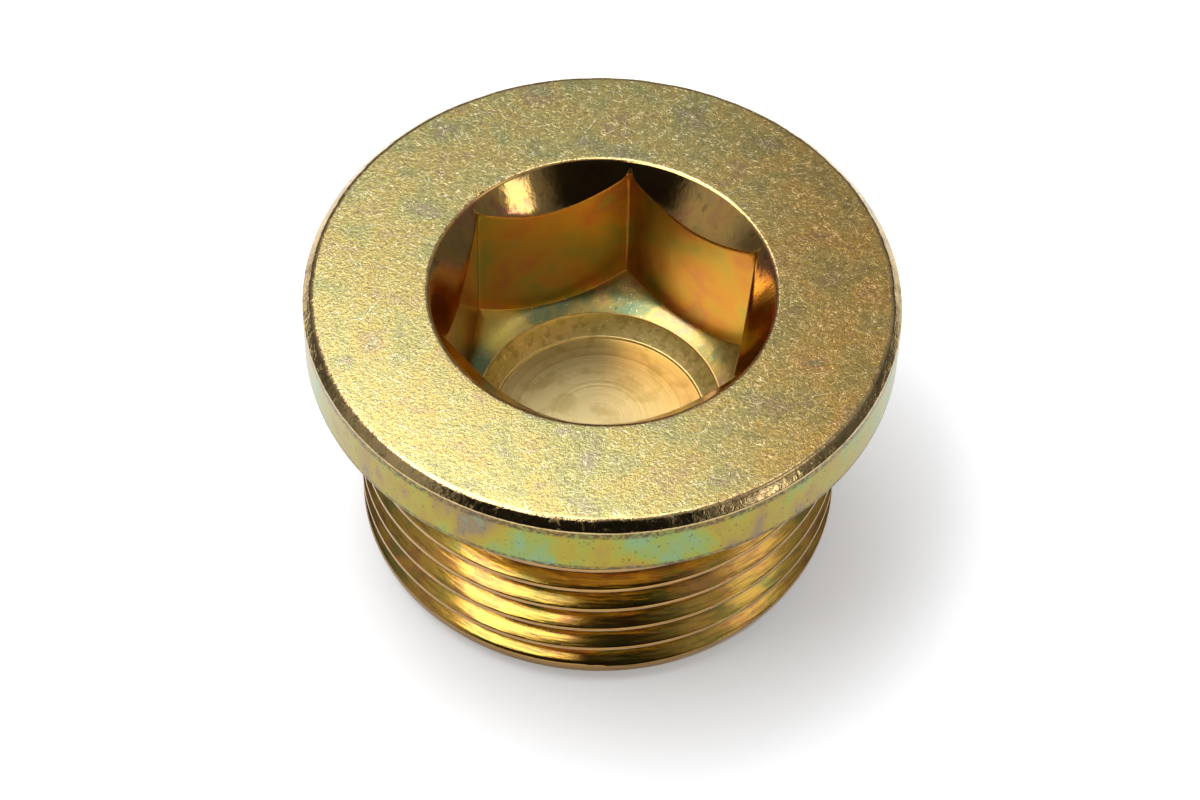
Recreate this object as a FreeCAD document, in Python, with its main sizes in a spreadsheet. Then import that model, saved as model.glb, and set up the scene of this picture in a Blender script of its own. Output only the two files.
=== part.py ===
import FreeCAD, Part
import math
import os
import Sketcher

# Collar screw plug with a hexagon socket, one turned and pressed piece of steel.
# Origin at the middle of the threaded end face, +Z up the axis to the collar's top face.

doc = FreeCAD.newDocument("drain_plug")

# Driving sizes in millimetres and degrees
sheet = doc.addObject("Spreadsheet::Sheet", "sizes")
rows = [
    ("overall_length", 20.0),
    ("collar_dia", 36.0),
    ("collar_thick", 4.15),
    ("collar_bevel", 0.53),
    ("bevel_round", 0.12),
    ("seal_edge_round", 0.25),
    ("crest_dia", 29.88),
    ("thread_pitch", 2.0),
    ("crest_flat", 0.3),
    ("root_flat", 0.355),
    ("flank_slope", 30.0),
    ("first_groove_height", 1.12),
    ("cutter_clear", 0.12),
    ("neck_clear", 0.125),
    ("neck_width", 2.2),
    ("end_chamfer", 1.35),
    ("hex_flats", 17.2),
    ("mouth_margin", 0.57),
    ("mouth_slope", 50.0),
    ("mouth_round", 0.35),
    ("hex_depth", 9.55),
    ("cone_inset", 0.05),
    ("ring_width", 0.91),
    ("ring_drop", 0.37),
    ("wall_run", 0.97),
    ("wall_drop", 1.27),
    ("floor_overlap", 0.6),
]
for number, (alias, value) in enumerate(rows, start=1):
    sheet.set("A%d" % number, alias)
    sheet.set("B%d" % number, str(value))
    sheet.setAlias("B%d" % number, alias)
doc.recompute()

body = doc.addObject("PartDesign::Body", "plug_body")
body.Label = "plug_body"
body.Placement = FreeCAD.Placement(FreeCAD.Vector(0, 0, 0), FreeCAD.Rotation())


def origin_item(role):
    """The body's own origin plane or axis that has this role."""
    for item in body.Origin.OriginFeatures:
        if item.Role == role:
            return item
    raise RuntimeError("no origin item " + role)


def outline(name, role, corners):
    """Closed outline of straight sides; each corner's two coordinates follow a formula.

    A corner written with None for its first formula lies on the sketch's upright axis.
    """
    sketch = body.newObject("Sketcher::SketchObject", name)
    sketch.AttachmentSupport = [(origin_item(role), "")]
    sketch.MapMode = "FlatFace"
    count = len(corners)
    turn = FreeCAD.Rotation(FreeCAD.Vector(0, 0, 1), 360.0 / count)
    start = FreeCAD.Vector(5, 0, 0)
    centre = FreeCAD.Vector(8, 8, 0)
    for index in range(count):
        end = turn.multVec(start)
        sketch.addGeometry(Part.LineSegment(centre + start, centre + end), False)
        start = end
    for index in range(count):
        following = (index + 1) % count
        sketch.addConstraint(Sketcher.Constraint("Coincident", index, 2, following, 1))
    for index, (across, upward) in enumerate(corners):
        if across is None:
            sketch.addConstraint(Sketcher.Constraint("PointOnObject", index, 1, -2))
        else:
            place = sketch.addConstraint(Sketcher.Constraint("DistanceX", index, 1, 5.0))
            sketch.setExpression("Constraints[%d]" % place, across)
        if upward is None:
            sketch.addConstraint(Sketcher.Constraint("PointOnObject", index, 1, -1))
        else:
            place = sketch.addConstraint(Sketcher.Constraint("DistanceY", index, 1, 5.0))
            sketch.setExpression("Constraints[%d]" % place, upward)
    doc.recompute()
    return sketch


def turned(kind, name, sketch):
    """Full turn of a sketch about the plug's axis, adding or removing material."""
    feature = body.newObject("PartDesign::" + kind, name)
    feature.Profile = sketch
    feature.ReferenceAxis = (origin_item("Z_Axis"), [""])
    feature.Angle = 360.0
    body.Tip = feature
    doc.recompute()
    print(name, round(feature.Shape.Volume, 2))
    return feature


def circle_edges(shape, places):
    """Names of the full circles about the axis with these radii and heights."""
    names = []
    for radius, height in places:
        for number, edge in enumerate(shape.Edges, start=1):
            curve = edge.Curve
            if curve.TypeId != "Part::GeomCircle":
                continue
            near = abs(curve.Radius - radius) < 1e-3 and abs(curve.Center.z - height) < 1e-3
            if near and abs(curve.Center.x) < 1e-6 and abs(curve.Center.y) < 1e-6:
                names.append("Edge%d" % number)
    return names


def rounding(name, base, places, alias):
    """Round edges of the base feature with the radius held in the sheet."""
    names = circle_edges(base.Shape, places)
    if len(names) != len(places):
        raise RuntimeError("%s found %d of %d edges" % (name, len(names), len(places)))
    feature = body.newObject("PartDesign::Fillet", name)
    feature.Base = (base, names)
    feature.setExpression("Radius", "sizes." + alias)
    body.Tip = feature
    doc.recompute()
    print(name, round(feature.Shape.Volume, 2))
    return feature


# Turned outside: end face, lead-in chamfer, thread blank, neck, seal face, collar and its bevel
under = "sizes.overall_length - sizes.collar_thick"
shoulder = under + " - sizes.neck_width"
flank = "tan(sizes.flank_slope * 1 deg)"
half_mouth = "(sizes.thread_pitch - sizes.crest_flat) / 2"
depth = "(" + half_mouth + " - sizes.root_flat / 2) / " + flank
neck_radius = "sizes.crest_dia / 2 - " + depth + " - sizes.neck_clear"
blank_sketch = outline(
    "blank_outline",
    "XZ_Plane",
    [
        (None, None),
        ("sizes.crest_dia / 2 - sizes.end_chamfer", None),
        ("sizes.crest_dia / 2", "sizes.end_chamfer"),
        ("sizes.crest_dia / 2", shoulder + " - " + depth + " - sizes.neck_clear"),
        (neck_radius, shoulder),
        (neck_radius, under),
        ("sizes.collar_dia / 2", under),
        ("sizes.collar_dia / 2", "sizes.overall_length - sizes.collar_bevel"),
        ("sizes.collar_dia / 2 - sizes.collar_bevel", "sizes.overall_length"),
        (None, "sizes.overall_length"),
    ],
)
blank = turned("Revolution", "blank", blank_sketch)

top = sheet.overall_length
collar_radius = sheet.collar_dia / 2
bevel = sheet.collar_bevel
seal_height = top - sheet.collar_thick
seal_edge = rounding("seal_edge", blank, [(collar_radius, seal_height)], "seal_edge_round")
bevel_edges = rounding(
    "bevel_edges",
    seal_edge,
    [(collar_radius, top - bevel), (collar_radius - bevel, top)],
    "bevel_round",
)

# Countersunk mouth: cone with a round upper edge, later cut by the hexagon into scallops
corner = "sizes.hex_flats / 2 / cos(30)"
flat = "sizes.hex_flats / 2"
mouth_radius = "(" + corner + " + sizes.mouth_margin)"
mouth_inner = "(" + flat + " - sizes.floor_overlap)"
mouth_drop = "(" + mouth_radius + " - " + mouth_inner + ") * tan(sizes.mouth_slope * 1 deg)"
mouth_sketch = outline(
    "mouth_outline",
    "XZ_Plane",
    [
        (None, "sizes.overall_length - " + mouth_drop),
        (mouth_inner, "sizes.overall_length - " + mouth_drop),
        (mouth_radius, "sizes.overall_length"),
        (None, "sizes.overall_length"),
    ],
)
mouth = turned("Groove", "mouth", mouth_sketch)
mouth_rim = sheet.hex_flats / math.sqrt(3) + sheet.mouth_margin
mouth_edge = rounding("mouth_edge", mouth, [(mouth_rim, top)], "mouth_round")

# Hexagon socket: flats face +X and -X, corners at 30, 90, 150 degrees and so on
cone_drop = "(" + corner + " - " + flat + " + sizes.cone_inset)"
cone_height = "sizes.overall_length - sizes.hex_depth - " + cone_drop
ring_height = cone_height + " - sizes.ring_drop"
disc_height = ring_height + " - sizes.wall_drop"
hex_sketch = outline(
    "hexagon",
    "XY_Plane",
    [
        (flat, corner + " / 2"),
        (None, corner),
        ("-" + flat, corner + " / 2"),
        ("-" + flat, "-" + corner + " / 2"),
        (None, "-" + corner),
        (flat, "-" + corner + " / 2"),
    ],
)
hex_sketch.setExpression("AttachmentOffset.Base.z", "sizes.overall_length")
doc.recompute()
hex_hole = body.newObject("PartDesign::Pocket", "hexagon_hole")
hex_hole.Profile = hex_sketch
hex_hole.setExpression("Length", "sizes.overall_length - (" + disc_height + ")")
body.Tip = hex_hole
doc.recompute()
print("hexagon_hole", round(hex_hole.Shape.Volume, 2))

# Floor of the socket: 45 degree cone of the punch, gentler ring, steep wall down to the flat disc
outer_ring = corner + " + sizes.floor_overlap"
cone_radius = flat + " - sizes.cone_inset"
ring_radius = cone_radius + " - sizes.ring_width"
disc_radius = ring_radius + " - sizes.wall_run"
floor_sketch = outline(
    "floor_outline",
    "XZ_Plane",
    [
        (outer_ring, "sizes.overall_length - sizes.hex_depth + sizes.floor_overlap"),
        (outer_ring, disc_height + " - sizes.floor_overlap"),
        (disc_radius, disc_height + " - sizes.floor_overlap"),
        (disc_radius, disc_height),
        (ring_radius, ring_height),
        (cone_radius, cone_height),
    ],
)
socket_floor = turned("Revolution", "socket_floor", floor_sketch)

# Right-hand thread: one flat-crested groove that climbs from the end face into the neck
wide = "(" + half_mouth + " + sizes.cutter_clear * " + flank + ")"
narrow = "sizes.root_flat / 2"
root_radius = "sizes.crest_dia / 2 - " + depth
cutter_radius = "sizes.crest_dia / 2 + sizes.cutter_clear"
groove_sketch = outline(
    "groove_section",
    "XZ_Plane",
    [
        (root_radius, "sizes.first_groove_height - " + narrow),
        (cutter_radius, "sizes.first_groove_height - " + wide),
        (cutter_radius, "sizes.first_groove_height + " + wide),
        (root_radius, "sizes.first_groove_height + " + narrow),
    ],
)
last_groove_height = under + " - " + wide + " - sizes.cutter_clear"
climb = "(" + last_groove_height + " - sizes.first_groove_height)"
thread = body.newObject("PartDesign::SubtractiveHelix", "thread")
thread.Profile = groove_sketch
thread.ReferenceAxis = (origin_item("Z_Axis"), [""])
thread.Mode = "pitch-turns-angle"
thread.setExpression("Pitch", "sizes.thread_pitch")
thread.setExpression("Turns", climb + " / sizes.thread_pitch")
thread.LeftHanded = False
thread.Reversed = False
body.Tip = thread
doc.recompute()
print("thread", round(thread.Shape.Volume, 2))

for item in doc.Objects:
    for word in ("Invalid", "Error"):
        if word in item.State:
            raise RuntimeError(item.Name + " is in state " + word)

plug = body.Shape
if plug.isNull() or not plug.isValid():
    raise RuntimeError("plug_body has no valid shape")
print("plug_body", len(plug.Solids), "solid", round(plug.Volume, 2), "mm3", plug.BoundBox)

os.makedirs("parts", exist_ok=True)
plug.exportStep(os.path.join("parts", "plug_body.step"))
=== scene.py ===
import math

import bmesh
import bpy
import numpy as np
from mathutils import Matrix, Vector


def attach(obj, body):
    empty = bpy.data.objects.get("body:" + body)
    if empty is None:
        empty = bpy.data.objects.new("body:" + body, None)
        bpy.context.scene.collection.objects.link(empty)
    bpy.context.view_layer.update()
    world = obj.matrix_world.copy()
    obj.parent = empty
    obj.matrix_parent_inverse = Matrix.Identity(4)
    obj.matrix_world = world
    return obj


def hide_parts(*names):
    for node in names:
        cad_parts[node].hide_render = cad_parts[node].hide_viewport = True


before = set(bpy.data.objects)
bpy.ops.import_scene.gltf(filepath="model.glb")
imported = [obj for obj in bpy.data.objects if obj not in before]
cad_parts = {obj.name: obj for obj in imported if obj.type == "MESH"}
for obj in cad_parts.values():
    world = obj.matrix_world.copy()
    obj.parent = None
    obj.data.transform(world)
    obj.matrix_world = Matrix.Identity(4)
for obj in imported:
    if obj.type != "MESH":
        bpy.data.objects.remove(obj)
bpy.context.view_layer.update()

# Plug body. One piece of free-cutting steel: collar, neck, thread and hexagon socket.
# Turned outside, thread rolled, socket pressed with a cone-nosed hexagon punch over a
# drilled and faced hole, then zinc plated and yellow passivated all over.

# Sizes in millimetres, heights from the threaded end face. Each line round the plug has one
# of ten finishes, in the order in which the materials are made below.
MM = 0.001
LENGTH = 20.0
FRONT = math.radians(-81.45)
RIM, EDGE, TOP, CONE, WALL, FLOOR, STEP, DISC, THREAD, UNDERSIDE = range(10)

# Turned outside
COLLAR_R = 18.0
COLLAR_T = 4.15
SEAL_ROUND = 0.25
BEVEL = 0.53
BEVEL_FOOT_ROUND = 0.16
BEVEL_TOP_ROUND = 0.45
CREST_R = 14.94
LEAD_IN = 1.35
NECK_R = 13.65
NECK_W = 2.2
NECK_ROUND = 0.2
UNDER_COLLAR = LENGTH - COLLAR_T
NECK_START = UNDER_COLLAR - NECK_W
SHOULDER = NECK_START - (CREST_R - NECK_R)


def smooth(x):
    """Cubic ease from 0 at x = 0 to 1 at x = 1, flat outside."""
    x = np.clip(x, 0.0, 1.0)
    return x * x * (3.0 - 2.0 * x)


def blank_radius(height):
    """Radius of the turned blank under the collar: lead-in cone, cylinder, shoulder, neck."""
    knots = [0.0, LEAD_IN, SHOULDER, NECK_START, LENGTH]
    return np.interp(height, knots, [CREST_R - LEAD_IN, CREST_R, CREST_R, NECK_R, NECK_R])


# Rolled thread, right-hand. Its first land, at the end face, is wider up to a burr.
PITCH = 2.0
CREST_AT_FRONT = 1.67
BURR_ANGLE = math.radians(8.0)
BURR_LAND = 0.22
FIRST_GROOVE = CREST_AT_FRONT - PITCH / 2 + PITCH * BURR_ANGLE / (2 * math.pi)


def thread_radius(angle, height):
    """Radius of the rolled thread: crest flat, worn corner, 60 degree flank and round root in
    the distance from the crest's middle, scaled by how far along the groove has come in."""
    behind = angle - FRONT - BURR_ANGLE
    climb = FIRST_GROOVE + PITCH * behind / (2 * math.pi)
    across = (height - climb + PITCH / 2) % PITCH - PITCH / 2
    turns = (height - FIRST_GROOVE - across) / PITCH
    wide_land = BURR_LAND * smooth((1.0 - turns) / 0.03) * (across < 0)
    from_crest = np.maximum(PITCH / 2 - np.abs(across) - wide_land, 0.0)
    knots = [0.0, 0.125, 0.15, 0.185, 0.30, 0.72, 0.78, 0.84, 0.91, 1.0]
    drops = [0.0, 0.004, 0.022, 0.075, 0.26, 0.987, 1.075, 1.125, 1.155, 1.165]
    drop = np.interp(from_crest, knots, drops)
    come_in = np.interp(turns, [0.0, 0.06, 0.25, 0.6], [0.0, 0.12, 0.36, 1.0])
    return CREST_R - drop * come_in


# Pressed socket: countersunk mouth, hexagon, floor of the punch, step and disc of the drill
APOTHEM = 8.6
HEX_CORNER_R = APOTHEM / math.cos(math.radians(30))
HEX_FILLET = 0.16
MOUTH_R = HEX_CORNER_R + 0.57
MOUTH_SLOPE = math.radians(50)
MOUTH_ROUND = 0.35
MOUTH_START = MOUTH_R + MOUTH_ROUND * math.tan(MOUTH_SLOPE / 2)
FLARE = 0.34
HEX_DEPTH = 9.55
STEP_R = 7.64
STEP_DEPTH = 11.3
RING_SLOPE = 0.41
DISC_R = 6.58
DISC_DEPTH = 12.57


def column_angles():
    """Angles of the mesh columns: even steps, and a close group at each socket corner."""
    even = np.linspace(0.0, 360.0, 343)[:-1]
    corners = 30.0 + 60.0 * np.arange(6)
    away = np.abs((even[:, None] - corners[None] + 180.0) % 360.0 - 180.0).min(1)
    group = np.array([-1.3, -0.62, -0.38, -0.16, 0.0, 0.16, 0.38, 0.62, 1.3])
    close = (corners[:, None] + group).ravel()
    angles = np.sort(np.concatenate([even[away > 1.6], close]))
    return np.radians(np.append(angles, angles[0] + 360.0))


def hexagon_radius(angle):
    """Distance from the axis to the socket wall: the apothem over the cosine of the angle
    from the flat's middle, and a small arc in each corner."""
    off = np.radians(np.abs(np.degrees(angle) % 60.0 - 30.0))
    flat = APOTHEM / np.cos(math.radians(30.0) - off)
    middle = HEX_CORNER_R - HEX_FILLET / math.sin(math.radians(60.0))
    inside = np.maximum(HEX_FILLET**2 - (middle * np.sin(off)) ** 2, 0.0)
    arc = middle * np.cos(off) + np.sqrt(inside)
    touch = math.atan2(HEX_FILLET * 0.5, middle + HEX_FILLET * math.cos(math.radians(30.0)))
    return np.where(off < touch, arc, flat)


def mouth_depth(radius):
    """Depth of the countersunk mouth: an arc that leaves the collar's top level, then a
    straight cone from where the arc has reached the cone's slope."""
    end = MOUTH_R - (MOUTH_START - MOUTH_R) * math.cos(MOUTH_SLOPE)
    inside = np.maximum(MOUTH_ROUND**2 - (MOUTH_START - np.maximum(radius, end)) ** 2, 0.0)
    arc = MOUTH_ROUND - np.sqrt(inside)
    return np.where(radius > end, arc, (MOUTH_R - radius) * math.tan(MOUTH_SLOPE))


def floor_depth(radius):
    """Depth of the socket floor: the punch's 45 degree cone easing into a gentler ring."""
    steep = HEX_DEPTH + (HEX_CORNER_R - radius)
    gentle = STEP_DEPTH - RING_SLOPE * (radius - STEP_R)
    gap = steep - gentle
    return steep - 0.5 * (gap + np.sqrt(gap * gap + 0.02))


def arc_points(centre_r, centre_z, size, first, last, count):
    """Points of an arc in the section plane, from one angle to another, in degrees."""
    turn = np.radians(np.linspace(first, last, count))
    return [(centre_r + size * math.cos(a), centre_z + size * math.sin(a)) for a in turn]


def thread_lines(angle):
    """Section lines over the end face, lead-in, thread and neck. Each is a radius, a height
    and a finish. On the thread they climb with it: height grows by the pitch per turn."""
    lines = [(r, 0.0, UNDERSIDE) for r in (0.0, 3.0, 6.0, 9.0, 11.5, 13.0, 13.45)]
    lines.append((13.56, 0.012, UNDERSIDE))
    rows = [np.full(angle.shape, z) for z in np.linspace(0.05, LEAD_IN - 0.02, 11)]
    low, high = LEAD_IN + 0.015, SHOULDER - 0.015
    offsets = [-0.185, -0.15, -0.125, 0.0, 0.125, 0.15, 0.185]
    offsets += [0.30, 0.40, 0.47, 0.51, 0.56, 0.72, 0.84, 1.0, 1.16, 1.28, 1.49, 1.70]
    first = CREST_AT_FRONT - PITCH * 3
    for turn in range(int((high - first) / PITCH) + 2):
        for offset in offsets:
            z = first + PITCH * turn + offset + PITCH * (angle - FRONT) / (2 * math.pi)
            rows.append(np.clip(z, low, high))
    rows += [np.full(angle.shape, z) for z in np.linspace(high + 0.03, NECK_START - 0.02, 12)]
    for z in rows:
        lines.append((np.minimum(blank_radius(z), thread_radius(angle, z)), z, THREAD))
    for z in (NECK_START + 0.03, NECK_START + 0.9, UNDER_COLLAR - 0.25):
        lines.append((NECK_R, z, UNDERSIDE))
    centre = (NECK_R + NECK_ROUND, UNDER_COLLAR - NECK_ROUND)
    lines += [(r, z, UNDERSIDE) for r, z in arc_points(*centre, NECK_ROUND, 180, 90, 4)]
    return lines


def collar_lines():
    """Section lines of the collar: flat underside, rounded lower edge, side, rounded bevel
    and flat top."""
    lines = [(r, UNDER_COLLAR, UNDERSIDE) for r in (14.3, 15.2, 16.4, 17.3, 17.62)]
    centre = (COLLAR_R - SEAL_ROUND, UNDER_COLLAR + SEAL_ROUND)
    lines += [(r, z, RIM) for r, z in arc_points(*centre, SEAL_ROUND, -90, 0, 6)]
    for z in np.linspace(UNDER_COLLAR + 0.32, LENGTH - BEVEL - 0.10, 9):
        lines.append((COLLAR_R, z, RIM))
    reach = math.tan(math.radians(22.5))
    centre = (COLLAR_R - BEVEL_FOOT_ROUND, LENGTH - BEVEL - BEVEL_FOOT_ROUND * reach)
    lines += [(r, z, EDGE) for r, z in arc_points(*centre, BEVEL_FOOT_ROUND, 0, 45, 5)]
    centre = (COLLAR_R - BEVEL - BEVEL_TOP_ROUND * reach, LENGTH - BEVEL_TOP_ROUND)
    lines += [(r, z, EDGE) for r, z in arc_points(*centre, BEVEL_TOP_ROUND, 45, 90, 8)]
    for r in (17.25, 17.1, 16.7, 16.1, 15.4, 14.6, 13.8, 13.0, 12.2, 11.5, 11.0, 10.85):
        lines.append((r, LENGTH, TOP))
    return lines


def socket_lines(angle):
    """Section lines from the mouth's rim to the floor's middle. The mouth's depth follows
    from the radius, and the hexagon's top and foot from where its wall meets mouth and
    floor. A bell curve in the angle flares the wall's top at each corner."""
    lines = [(MOUTH_START, LENGTH, TOP)]
    for inward in (0.04, 0.08, 0.12, 0.16, 0.2, 0.24, 0.27):
        kind = EDGE if inward < 0.14 else CONE
        lines.append((MOUTH_START - inward, LENGTH - mouth_depth(MOUTH_START - inward), kind))
    wall = hexagon_radius(angle)
    flare = FLARE * np.exp(-((30.0 - np.degrees(angle) % 60.0) ** 2))
    mouth_width = wall + flare + 0.31 - MOUTH_START
    for share in (0.2, 0.4, 0.6, 0.8):
        r = MOUTH_START - 0.27 + share * mouth_width
        lines.append((r, LENGTH - mouth_depth(r), CONE))
    lip = LENGTH - mouth_depth(wall + flare)
    lines.append((wall + flare + 0.05, LENGTH - mouth_depth(wall + flare + 0.05), CONE))
    lines.append((wall + flare + 0.012, lip - 0.006, CONE))
    for share, drop in ((0.9, 0.06), (0.5, 0.2), (0.15, 0.4)):
        lines.append((wall + share * flare, lip - drop, WALL))
    foot = LENGTH - floor_depth(wall)
    for share in (0.1, 0.3, 0.5, 0.7, 0.9):
        lines.append((wall, lip - 0.5 + share * (foot + 0.58 - lip), WALL))
    lines.append((wall, foot + 0.08, WALL))
    lines.append((wall - 0.012, foot + 0.028, WALL))
    lines.append((wall - 0.05, LENGTH - floor_depth(wall - 0.05), FLOOR))
    for share in (0.25, 0.5, 0.75, 0.93):
        r = wall + share * (STEP_R + 0.08 - wall)
        lines.append((r, LENGTH - floor_depth(r), FLOOR))
    lines.append((STEP_R + 0.06, LENGTH - STEP_DEPTH + 0.03, FLOOR))
    for outward, rise in ((0.02, 0.08), (-0.04, 0.07), (-0.08, -0.06)):
        lines.append((STEP_R + outward, LENGTH - STEP_DEPTH + rise, DISC))
    for outward, rise in ((0.62, 0.7), (0.18, 0.13), (0.15, 0.1)):
        lines.append((DISC_R + outward, LENGTH - DISC_DEPTH + rise, STEP))
    for outward, rise in ((0.11, 0.14), (0.06, 0.13), (0.02, 0.02), (0.0, 0.0)):
        lines.append((DISC_R + outward, LENGTH - DISC_DEPTH + rise, DISC))
    for r in (6.3, 6.05, 5.95, 5.0, 4.0, 3.0, 2.0, 1.0, 0.0):
        lines.append((r, LENGTH - DISC_DEPTH, DISC))
    return lines


# Dents that other parts knocked into the bevel
DENTS = 60
DENT_INSET = 0.25
DENT_REACH = 0.42


def edge_dents(angle, radii, heights):
    """Small dents along the collar's top edge: each lowers the metal by a bell curve in
    the arc along the edge and in the distance from the middle of the bevel."""
    generator = np.random.default_rng(11)
    edge = np.hypot(radii - (COLLAR_R - DENT_INSET), heights - (LENGTH - DENT_INSET))
    near = np.exp(-((edge / DENT_REACH) ** 2))
    for _ in range(DENTS):
        place = generator.uniform(0.0, 2 * math.pi)
        width = generator.uniform(0.12, 0.6)
        depth = generator.uniform(0.005, 0.05)
        arc = np.abs((angle - place + math.pi) % (2 * math.pi) - math.pi) * COLLAR_R
        bell = np.exp(-((arc / width) ** 2))[None] * near * depth
        radii = radii - 0.6 * bell
        heights = heights - 0.8 * bell
    return radii, heights


# Skin: every section line carried round the axis, closed where its first column comes again
# and at the middles of the end face and the disc.
angle = column_angles()
section = thread_lines(angle) + collar_lines() + socket_lines(angle)
radii = np.array([np.broadcast_to(r, angle.shape) for r, z, kind in section], dtype=float)
heights = np.array([np.broadcast_to(z, angle.shape) for r, z, kind in section], dtype=float)
finish = np.array([kind for r, z, kind in section])
radii, heights = edge_dents(angle, radii, heights)
lines, columns = radii.shape
points = np.stack([radii * np.cos(angle), radii * np.sin(angle), heights], -1) * MM
index = np.arange(lines * columns).reshape(lines, columns)
quads = np.stack([index[:-1, :-1], index[:-1, 1:], index[1:, 1:], index[1:, :-1]], -1)
mesh = bpy.data.meshes.new("plug")
mesh.from_pydata(points.reshape(-1, 3).tolist(), [], quads.reshape(-1, 4).tolist())
kinds = np.repeat(finish[1:], columns - 1).astype(np.int32)
mesh.polygons.foreach_set("material_index", kinds)

# Crests of the thread carry 1 in their own attribute, for the finish rubbed off them. It
# fades to 0 within hundredths of a millimetre below the crest, and past the shoulder.
on_thread = (heights > LEAD_IN) & (heights < SHOULDER + 0.04) & (radii < CREST_R + 0.06)
crest = np.where(on_thread, smooth((radii - (CREST_R - 0.025)) / 0.02), 0.0)
attribute = mesh.attributes.new("crest", "FLOAT", "POINT")
attribute.data.foreach_set("value", crest.ravel())

build = bmesh.new()
build.from_mesh(mesh)
bmesh.ops.remove_doubles(build, verts=build.verts, dist=2e-7)
bmesh.ops.dissolve_degenerate(build, edges=build.edges, dist=1e-8)
bmesh.ops.recalc_face_normals(build, faces=build.faces)
build.to_mesh(mesh)
build.free()
mesh.shade_smooth()
mesh.set_sharp_from_angle(angle=math.radians(38))
plug = bpy.data.objects.new("plug", mesh)
bpy.context.scene.collection.objects.link(plug)
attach(plug, "root")
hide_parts("plug_body")


# Finish: bright zinc with a yellow chromate film. The film is thinner and thicker in
# places, so the gold drifts to green, rose and blue-grey, as oil on water does.
def linear(colour):
    """sRGB hex colour to linear red, green, blue and full alpha."""
    parts = [int(colour[i : i + 2], 16) / 255 for i in (1, 3, 5)]
    return [c / 12.92 if c <= 0.04045 else ((c + 0.055) / 1.055) ** 2.4 for c in parts] + [1.0]


def add(tree, kind, sockets=None, out=0, stops=None, **settings):
    """New shader node with its settings, sockets and ramp stops. A socket takes a number, a
    vector, a hex colour, or another node's output as a link. Returns one of its outputs."""
    node = tree.nodes.new("ShaderNode" + kind)
    for field, value in settings.items():
        setattr(node, field, value)
    for socket, value in (sockets or {}).items():
        if isinstance(value, bpy.types.NodeSocket):
            tree.links.new(value, node.inputs[socket])
        else:
            node.inputs[socket].default_value = linear(value) if isinstance(value, str) else value
    if stops:
        while len(node.color_ramp.elements) < len(stops):
            node.color_ramp.elements.new(0.5)
        for element, (place, colour) in zip(node.color_ramp.elements, stops):
            element.position = place
            element.color = linear(colour)
    return node.outputs[out]


def plated(name, patch, stops, roughness, stretch=(1, 1, 1), detail=4.0, coat=0.3):
    """Yellow-passivated zinc, as the plug's next material. The film's colours follow noise
    whose patches have a size in mm. Returns tree, shader, a vector in mm and the film."""
    material = bpy.data.materials.new(name)
    material.use_nodes = True
    mesh.materials.append(material)
    tree = material.node_tree
    shader = tree.nodes["Principled BSDF"]
    shader.inputs["Metallic"].default_value = 1.0
    shader.inputs["Roughness"].default_value = roughness
    shader.inputs["Coat Weight"].default_value = coat
    shader.inputs["Coat Roughness"].default_value = 0.12
    place = add(tree, "TexCoord", out="Object")
    mm = add(tree, "Mapping", {"Vector": place, "Scale": (1 / MM, 1 / MM, 1 / MM)})
    stretched = add(tree, "Mapping", {"Vector": mm, "Scale": stretch})
    look = {"Scale": 1.0 / patch, "Detail": detail, "Roughness": 0.55, "Distortion": 0.3}
    patches = add(tree, "TexNoise", {"Vector": stretched, **look})
    film = add(tree, "ValToRGB", {"Fac": patches}, stops=stops)
    return tree, shader, mm, film


def marked(tree, mm, film, colour, size, levels, share, shift=0.0, turn=0.0, **look):
    """Film with marks of a second colour: noise with grains of a size in mm along each axis
    is eased from no mark to a share of that colour between two of its levels. The shift
    moves the noise, so that no two kinds of mark agree, and look holds the noise's own
    sockets. Returns the film and the noise."""
    where = {"Scale": size, "Rotation": (0, 0, turn), "Location": (shift, shift * 1.7, 0.0)}
    moved = add(tree, "Mapping", {"Vector": mm, **where}, vector_type="TEXTURE")
    grains = add(tree, "TexNoise", {"Vector": moved, "Scale": 1.0, **look})
    low, high = levels
    ease = {"Value": grains, "From Min": low, "From Max": high, "To Max": share}
    amount = add(tree, "MapRange", ease, interpolation_type="SMOOTHSTEP")
    film = add(tree, "Mix", {0: amount, 6: film, 7: colour}, out=2, data_type="RGBA")
    return film, grains


def dress(tree, shader, film, relief, height):
    """Give the shader its film and a relief whose full range is a height in mm."""
    bump = add(tree, "Bump", {"Strength": 1.0, "Distance": height * MM, "Height": relief})
    tree.links.new(film, shader.inputs["Base Color"])
    tree.links.new(bump, shader.inputs["Normal"])


# Collar's side, as turned: smooth, with the film's colours in upright bands, small dark
# pits and a worn brownish strip along each edge.
tree, shader, mm, film = plated(
    "turned_rim_yellow_zinc",
    3.4,
    [
        (0.34, "#7c9468"),
        (0.41, "#869248"),
        (0.49, "#9a8c34"),
        (0.57, "#988038"),
        (0.64, "#807054"),
        (0.71, "#76926c"),
    ],
    0.26,
    stretch=(1, 1, 0.5),
    detail=3.0,
    coat=0.0,
)
film, _ = marked(tree, mm, film, "#43331f", (0.24, 0.24, 0.24), (0.64, 0.70), 0.75, Detail=3.0)
height = add(tree, "SeparateXYZ", {"Vector": mm}, out="Z")
eased = {"interpolation_type": "SMOOTHSTEP"}
upper = add(tree, "MapRange", {"Value": height, "From Min": 18.75, "From Max": 19.05}, **eased)
lower = add(tree, "MapRange", {"Value": height, "From Min": 16.4, "From Max": 16.15}, **eased)
worn = add(tree, "Math", {0: upper, 1: lower}, operation="MAXIMUM")
moved = add(tree, "Mapping", {"Vector": mm, "Location": (-5.0, -8.5, 0.0)})
grains = add(tree, "TexNoise", {"Vector": moved, "Scale": 1 / 0.25, "Detail": 4.0})
limits = {"From Min": 0.36, "From Max": 0.60, "To Min": 0.2, "To Max": 1.0}
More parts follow.
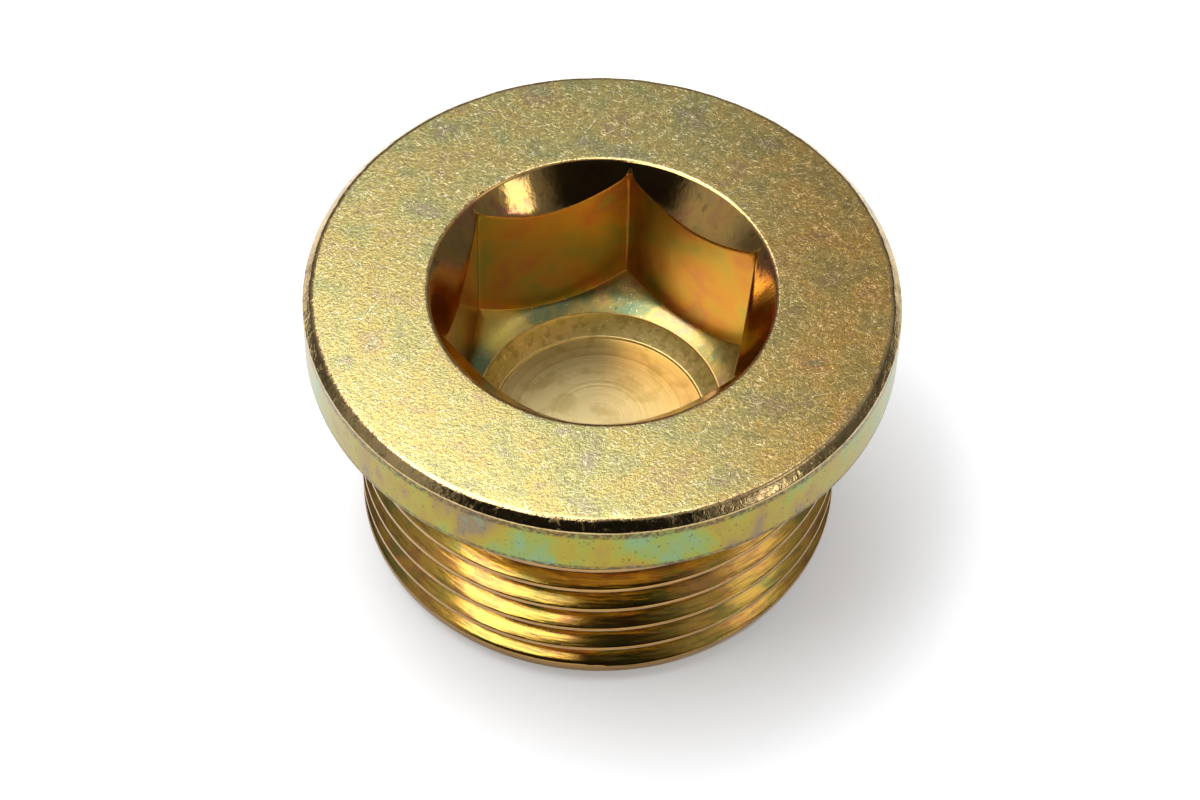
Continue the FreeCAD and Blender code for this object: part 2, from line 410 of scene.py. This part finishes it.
ragged = add(tree, "MapRange", {"Value": grains, **limits}, **eased)
strip = add(tree, "Math", {0: worn, 1: ragged}, operation="MULTIPLY")
film = add(tree, "Mix", {0: strip, 6: film, 7: "#5e4c34"}, out=2, data_type="RGBA")
moved = add(tree, "Mapping", {"Vector": mm, "Location": (-2.0, -3.4, 0.0)})
ripples = add(tree, "TexNoise", {"Vector": moved, "Scale": 1 / 0.5, "Detail": 3.0})
dress(tree, shader, film, ripples, 0.004)

# Collar's top bevel: bright from turning, knocked all round by other parts in the bin. The
# knocks are dull and brown, so the bevel shows as a broken mirror.
tree, shader, mm, film = plated(
    "knocked_bevel_yellow_zinc", 1.6, [(0.35, "#b09464"), (0.6, "#ccb078")], 0.14
)
size, look = (0.34, 0.34, 0.34), {"Detail": 4.0, "Distortion": 0.8}
film, knocks = marked(tree, mm, film, "#55432a", size, (0.58, 0.70), 0.7, **look)
moved = add(tree, "Mapping", {"Vector": mm, "Location": (-6.0, -10.2, 0.0)})
look = {"Scale": 1 / 0.55, "Detail": 3.0, "Distortion": 1.0}
flecks = add(tree, "TexNoise", {"Vector": moved, **look})
limits = {"From Min": 0.56, "From Max": 0.74, "To Min": 0.14, "To Max": 0.5}
dulled = add(tree, "MapRange", {"Value": flecks, **limits}, **eased)
tree.links.new(dulled, shader.inputs["Roughness"])
dress(tree, shader, film, knocks, 0.03)


# Collar's top: tumbled with other parts, so it is covered with fine curled scuffs, pale
# where fresh and dark where the film filled them, and a few straight scratches. The real
# scuffs are a few hundredths of a millimetre wide and are drawn twice as coarse, to show.
def curled(tree, mm, curls, masks, fine, patchy):
    """Curled lines: where the distance of a noise from its middle value eases down between
    two small values, fine, times the patches of a second noise, eased up between two of
    its levels, patchy. Each noise has a grain in mm, a shift and its own sockets."""
    found = []
    for grain, shift, look in (curls, masks):
        moved = add(tree, "Mapping", {"Vector": mm, "Location": (-shift, -shift * 1.7, 0.0)})
        found.append(add(tree, "TexNoise", {"Vector": moved, "Scale": 1 / grain, **look}))
    from_middle = add(tree, "Math", {0: found[0], 1: 0.5}, operation="SUBTRACT")
    ridge = add(tree, "Math", {0: from_middle}, operation="ABSOLUTE")
    eases = []
    for value, (low, high) in ((ridge, fine), (found[1], patchy)):
        limits = {"From Min": low, "From Max": high}
        eases.append(add(tree, "MapRange", {"Value": value, **limits}, **eased))
    return add(tree, "Math", {0: eases[0], 1: eases[1]}, operation="MULTIPLY")


tree, shader, mm, film = plated(
    "scuffed_top_yellow_zinc",
    2.6,
    [
        (0.30, "#b9aa86"),
        (0.40, "#b9b375"),
        (0.48, "#cbbd7a"),
        (0.58, "#d1bb72"),
        (0.67, "#c7b07c"),
        (0.76, "#b1b180"),
    ],
    0.22,
)
size, look = (0.2, 0.2, 0.2), {"Detail": 3.0, "Distortion": 0.6}
film, grain = marked(tree, mm, film, "#6a5a28", size, (0.54, 0.36), 0.22, shift=8.0, **look)
curls, masks = (0.3, 12.0, {"Detail": 2.0, "Distortion": 1.5}), (0.4, 13.0, {"Detail": 2.0})
hairs = curled(tree, mm, curls, masks, (0.022, 0.004), (0.42, 0.58))
amount = add(tree, "Math", {0: hairs, 1: 0.75}, operation="MULTIPLY")
film = add(tree, "Mix", {0: amount, 6: film, 7: "#5a4c24"}, out=2, data_type="RGBA")
curls, masks = (0.34, 3.0, {"Detail": 1.5, "Distortion": 1.2}), (0.5, 9.0, {"Detail": 2.0})
scuffs = curled(tree, mm, curls, masks, (0.035, 0.008), (0.42, 0.6))
amount = add(tree, "Math", {0: scuffs, 1: 0.7}, operation="MULTIPLY")
film = add(tree, "Mix", {0: amount, 6: film, 7: "#f6ecc4"}, out=2, data_type="RGBA")
for turned, shift in ((0.35, 1.0), (1.2, 4.0), (2.1, 7.0), (2.8, 2.0)):
    look = {"shift": shift, "turn": turned, "Detail": 0.0}
    film, _ = marked(tree, mm, film, "#f4ecd0", (2.2, 0.11, 1.0), (0.77, 0.84), 0.6, **look)

# The top is painted browner towards one side: a painted shade, for that side's dimmer light.
to_side = {0: mm, 1: (0.989, 0.149, 0.0)}
sideways = add(tree, "VectorMath", to_side, out="Value", operation="DOT_PRODUCT")
painted_shade_side = add(tree, "MapRange", {"Value": sideways, "From Min": 2.0, "From Max": 15.0}, **eased)
painted_shade_mix = {0: painted_shade_side, 6: film, 7: "#f2dbc4"}
film = add(tree, "Mix", painted_shade_mix, out=2, data_type="RGBA", blend_type="MULTIPLY")
half_scuffs = add(tree, "Math", {0: scuffs, 1: 0.5}, operation="MULTIPLY")
relief = add(tree, "Math", {0: grain, 1: half_scuffs}, operation="ADD")
dress(tree, shader, film, relief, 0.011)

# Countersunk mouth: pressed mirror-bright, with faint upright streaks.
tree, shader, mm, film = plated(
    "pressed_cone_yellow_zinc",
    1.8,
    [(0.38, "#c09c5c"), (0.5, "#d4a858"), (0.62, "#cc9060")],
    0.12,
    stretch=(1, 1, 0.3),
    coat=0.4,
)
look = {"shift": 6.0, "Detail": 3.0}
film, streaks = marked(tree, mm, film, "#5a4a34", (0.5, 0.5, 2.5), (0.58, 0.74), 0.5, **look)
dress(tree, shader, film, streaks, 0.012)

# Hexagon's walls: drawn smooth by the punch, deep amber where the film lies thick.
tree, shader, mm, film = plated(
    "pressed_wall_yellow_zinc",
    3.0,
    [
        (0.32, "#b4ac58"),
        (0.45, "#d2ac50"),
        (0.56, "#d8a04c"),
        (0.66, "#d0905c"),
        (0.74, "#bca85c"),
    ],
    0.27,
    detail=2.0,
    coat=0.2,
)
where = {"Scale": (0.45, 0.45, 4.0), "Location": (2.0, 3.4, 0.0)}
moved = add(tree, "Mapping", {"Vector": mm, **where}, vector_type="TEXTURE")
drawn = add(tree, "TexNoise", {"Vector": moved, "Scale": 1.0, "Detail": 3.0})
dress(tree, shader, film, drawn, 0.006)

# Socket's floor: cone and ring of the punch, satin, with bright specks left by the pressing
# and a painted highlight: one bright amber patch in a single place.
tree, shader, mm, film = plated(
    "pressed_floor_yellow_zinc",
    3.0,
    [
        (0.36, "#70805c"),
        (0.45, "#988e54"),
        (0.54, "#c0a25a"),
        (0.62, "#b48e66"),
        (0.70, "#7c8864"),
    ],
    0.36,
    coat=0.2,
)
look = {"shift": 1.0, "Detail": 2.0}
film, _ = marked(tree, mm, film, "#f0dfae", (0.16, 0.16, 0.16), (0.66, 0.74), 1.0, **look)
# Painted highlight: a bright amber patch round one place on the floor.
painted_highlight_place = {0: mm, 1: (-7.2, 4.6, 9.9)}
from_painted_highlight = add(tree, "VectorMath", painted_highlight_place, out="Value", operation="DISTANCE")
limits = {"From Min": 2.8, "From Max": 0.8, "To Max": 0.85}
painted_highlight_mask = add(tree, "MapRange", {"Value": from_painted_highlight, **limits}, **eased)
film = add(tree, "Mix", {0: painted_highlight_mask, 6: film, 7: "#e0c860"}, out=2, data_type="RGBA")
moved = add(tree, "Mapping", {"Vector": mm, "Location": (-4.0, -6.8, 0.0)})
ripples = add(tree, "TexNoise", {"Vector": moved, "Scale": 1 / 0.3, "Detail": 3.0})
dress(tree, shader, film, ripples, 0.012)

# Step round the disc: left rough by the drill under the punch's cone, so it is dull, with
# bright specks and stains.
tree, shader, mm, film = plated(
    "drilled_step_yellow_zinc", 2.0, [(0.35, "#dcd48c"), (0.65, "#f0dc9c")], 0.5, coat=0.2
)
look = {"shift": 1.0, "Detail": 2.0}
film, _ = marked(tree, mm, film, "#fff0c4", (0.26, 0.26, 0.26), (0.60, 0.70), 1.0, **look)
look = {"shift": 7.0, "Detail": 4.0}
film, _ = marked(tree, mm, film, "#8a7a40", (0.6, 0.6, 0.6), (0.5, 0.38), 0.35, **look)
moved = add(tree, "Mapping", {"Vector": mm, "Location": (-4.0, -6.8, 0.0)})
ripples = add(tree, "TexNoise", {"Vector": moved, "Scale": 1 / 0.25, "Detail": 3.0})
dress(tree, shader, film, ripples, 0.03)

# Disc at the bottom of the drilled hole: faced flat, so it has rings from the tool, drawn
# about 0.4 mm apart because the real ones are too fine to show, and a few stains.
tree, shader, mm, film = plated(
    "faced_disc_yellow_zinc", 3.0, [(0.35, "#d6c48c"), (0.65, "#dcc890")], 0.33
)
flat = add(tree, "VectorMath", {0: mm, 1: (1, 1, 0)}, operation="MULTIPLY")
radius = add(tree, "VectorMath", {0: flat}, out="Value", operation="LENGTH")
look = {"Scale": 2.6, "Detail": 6.0, "Roughness": 0.7}
rings = add(tree, "TexNoise", {"W": radius, **look}, noise_dimensions="1D")
limits = {"From Min": 0.55, "From Max": 0.75, "To Max": 0.25}
amount = add(tree, "MapRange", {"Value": rings, **limits}, **eased)
film = add(tree, "Mix", {0: amount, 6: film, 7: "#8a7038"}, out=2, data_type="RGBA")
size = (1.4, 1.4, 1.4)
film, _ = marked(tree, mm, film, "#a8904c", size, (0.5, 0.35), 0.4, Detail=4.0)
dress(tree, shader, film, rings, 0.012)

# Thread: rolled bright, with fine lines along it and a thin clear lustre over the film. The
# film has rubbed off the crests, and its first land is painted darker brown, a painted shade
# for the shadowed paper it mirrors. The rolled lines, real ones of about 0.03 mm, are drawn
# 0.11 mm apart, to show.
tree, shader, mm, film = plated(
    "rolled_thread_yellow_zinc",
    3.0,
    [
        (0.36, "#968834"),
        (0.45, "#bc9636"),
        (0.54, "#c8983a"),
        (0.62, "#b8803c"),
        (0.70, "#8e8838"),
    ],
    0.15,
    coat=0.65,
)
rubbed = add(tree, "Attribute", out="Fac", attribute_name="crest")
film = add(tree, "Mix", {0: rubbed, 6: film, 7: "#b08440"}, out=2, data_type="RGBA")
height = add(tree, "SeparateXYZ", {"Vector": mm}, out="Z")
# Painted shade: the first land darkens to brown towards the end face.
limits = {"From Min": 2.1, "From Max": 1.5, "To Max": 0.7}
painted_shade_first_land = add(tree, "MapRange", {"Value": height, **limits}, **eased)
film = add(tree, "Mix", {0: painted_shade_first_land, 6: film, 7: "#6e5222"}, out=2, data_type="RGBA")
size = (2.0, 2.0, 0.11)
film, rolled = marked(tree, mm, film, "#6a501c", size, (0.52, 0.36), 0.45, Detail=3.0)
rougher = add(tree, "Math", {0: rubbed, 1: 0.08}, operation="MULTIPLY")
roughness = add(tree, "Math", {0: rougher, 1: 0.16}, operation="ADD")
tree.links.new(roughness, shader.inputs["Roughness"])
dress(tree, shader, film, rolled, 0.012)

# Neck, underside and end face: turned, out of the way of knocks, so they are plain satin.
tree, shader, mm, film = plated(
    "turned_underside_yellow_zinc",
    4.0,
    [(0.35, "#b39a50"), (0.5, "#c4aa60"), (0.65, "#b09a70")],
    0.3,
)
ripples = add(tree, "TexNoise", {"Vector": mm, "Scale": 1 / 0.3, "Detail": 3.0})
dress(tree, shader, film, ripples, 0.01)


# Floor: matt white paper, a hair under the plug's end face. It glows, though it is no lamp,
# and glows less near the plug: a painted shadow round it, which melts into white farther out.
PAPER_HALF = 1.5
PAPER_HEIGHT = -0.00002
paper = bpy.data.materials.new("white_paper")
paper.use_nodes = True
tree = paper.node_tree
shader = tree.nodes["Principled BSDF"]
shader.inputs["Base Color"].default_value = linear("#f0f3f8")
shader.inputs["Roughness"].default_value = 0.9
shader.inputs["Emission Color"].default_value = linear("#ffffff")
spot = add(tree, "TexCoord", out="Object")
away = add(tree, "VectorMath", {0: spot}, out="Value", operation="LENGTH")
# Painted shadow: the paper's glow is dimmer near the plug.
limits = {"From Min": 0.010, "From Max": 0.033, "To Min": 0.29, "To Max": 0.54}
painted_shadow_glow = add(tree, "MapRange", {"Value": away, **limits}, **eased)
tree.links.new(painted_shadow_glow, shader.inputs["Emission Strength"])
sheet = bpy.data.meshes.new("paper")
around = ((-1, -1), (1, -1), (1, 1), (-1, 1))
corners = [(x * PAPER_HALF, y * PAPER_HALF, PAPER_HEIGHT) for x, y in around]
sheet.from_pydata(corners, [], [(0, 1, 2, 3)])
sheet.materials.append(paper)
ground = bpy.data.objects.new("paper", sheet)
bpy.context.scene.collection.objects.link(ground)


# Lights: two soft boxes overhead, whose edges give the collar's top its bright and dim
# sides, and a low one at the right for the spot in the mouth. Places and ways are in
# metres in the camera's frame, which is turned from the plug's by this angle.
turn = Matrix.Rotation(math.radians(8.55), 4, "Z")


def soft_box(name, place, size, radiance, level=None):
    """Rectangular lamp that faces the plug, with a power of radiance times pi times area. A
    level lamp faces straight down and is turned by that angle, in degrees."""
    data = bpy.data.lights.new(name, "AREA")
    data.shape = "RECTANGLE"
    data.size, data.size_y = size
    data.energy = radiance * math.pi * size[0] * size[1]
    lamp = bpy.data.objects.new(name, data)
    lamp.location = turn @ Vector(place)
    facing = (Vector((0, 0, 0.01)) - lamp.location).to_track_quat("-Z", "Y")
    if level is not None:
        facing = (turn @ Matrix.Rotation(math.radians(level), 4, "Z")).to_quaternion()
    lamp.rotation_euler = facing.to_euler()
    bpy.context.scene.collection.objects.link(lamp)


soft_box("overhead_left", (-0.171, -0.045, 0.38), (0.228, 0.29), 4.2, level=0)
soft_box("overhead_back", (-0.072, 0.145, 0.385), (0.244, 0.24), 3.0, level=45)
soft_box("strip_right", (0.415, -0.275, 0.255), (0.12, 0.09), 2.9)

# Room: dim walls and a brighter ceiling, dark behind the camera, which shows as black in
# the collar's bevel and in the back of the mouth, and two faint panels.
world = bpy.data.worlds.new("studio")
bpy.context.scene.world = world
world.use_nodes = True
tree = world.node_tree
background = tree.nodes["Background"]
toward = add(tree, "TexCoord", out="Generated")


def part_of_room(way, inner, outer, near, far):
    """Brightness near and far from a way in the camera's frame, eased between two angles
    from it, in degrees."""
    line = {0: toward, 1: (turn @ Vector(way)).normalized()}
    cosine = add(tree, "VectorMath", line, out="Value", operation="DOT_PRODUCT")
    edges = {"From Min": math.cos(math.radians(outer)), "From Max": math.cos(math.radians(inner))}
    return add(tree, "MapRange", {"Value": cosine, **edges, "To Min": far, "To Max": near}, **eased)


ceiling = part_of_room((0.0, 0.0, 1.0), 30, 80, 0.42, 0.12)
behind_camera = part_of_room((-0.1, -0.78, 0.6), 30, 45, 0.04, 1.0)
high_panel = part_of_room((0.593, -0.063, 0.803), 3, 12, 1.1, 0.0)
left_panel = part_of_room((-0.89, -0.25, 0.38), 8, 26, 0.26, 0.0)
walls = add(tree, "Math", {0: ceiling, 1: behind_camera}, operation="MULTIPLY")
panels = add(tree, "Math", {0: high_panel, 1: left_panel}, operation="ADD")
room = add(tree, "Math", {0: walls, 1: panels}, operation="ADD")
tree.links.new(room, background.inputs["Strength"])
background.inputs["Color"].default_value = linear("#ffffff")

bpy.context.scene.view_settings.view_transform = "Standard"

# Camera at the photograph's viewing angle, fitted to the outlines of collar and socket.
# Its focal length was found in the photograph's pixels and is turned to mm of sensor.
FOCAL_PIXELS = 3617.0
PHOTO_WIDTH = 1200.0
SENSOR = 36.0
TILT = 0.8901
ROLL = 0.02604
REACH = 0.225
AIM = Vector((0.0000117, 0.0, 0.009322))
lens_data = bpy.data.cameras.new("camera")
camera = bpy.data.objects.new("camera", lens_data)
bpy.context.scene.collection.objects.link(camera)
bpy.context.scene.camera = camera
lens_data.sensor_width = SENSOR
lens_data.sensor_fit = "HORIZONTAL"
lens_data.lens = FOCAL_PIXELS / PHOTO_WIDTH * SENSOR
lens_data.clip_start = 0.01
place = AIM + REACH * Vector((0.0, -math.cos(TILT), math.sin(TILT)))
ahead = (AIM - place).normalized()
across = Vector((1.0, 0.0, 0.0))
upward = across.cross(ahead)
right = math.cos(ROLL) * across + math.sin(ROLL) * upward
above = -math.sin(ROLL) * across + math.cos(ROLL) * upward
pose = Matrix((right, above, -ahead)).transposed().to_4x4()
pose.translation = place
camera.matrix_world = turn @ pose
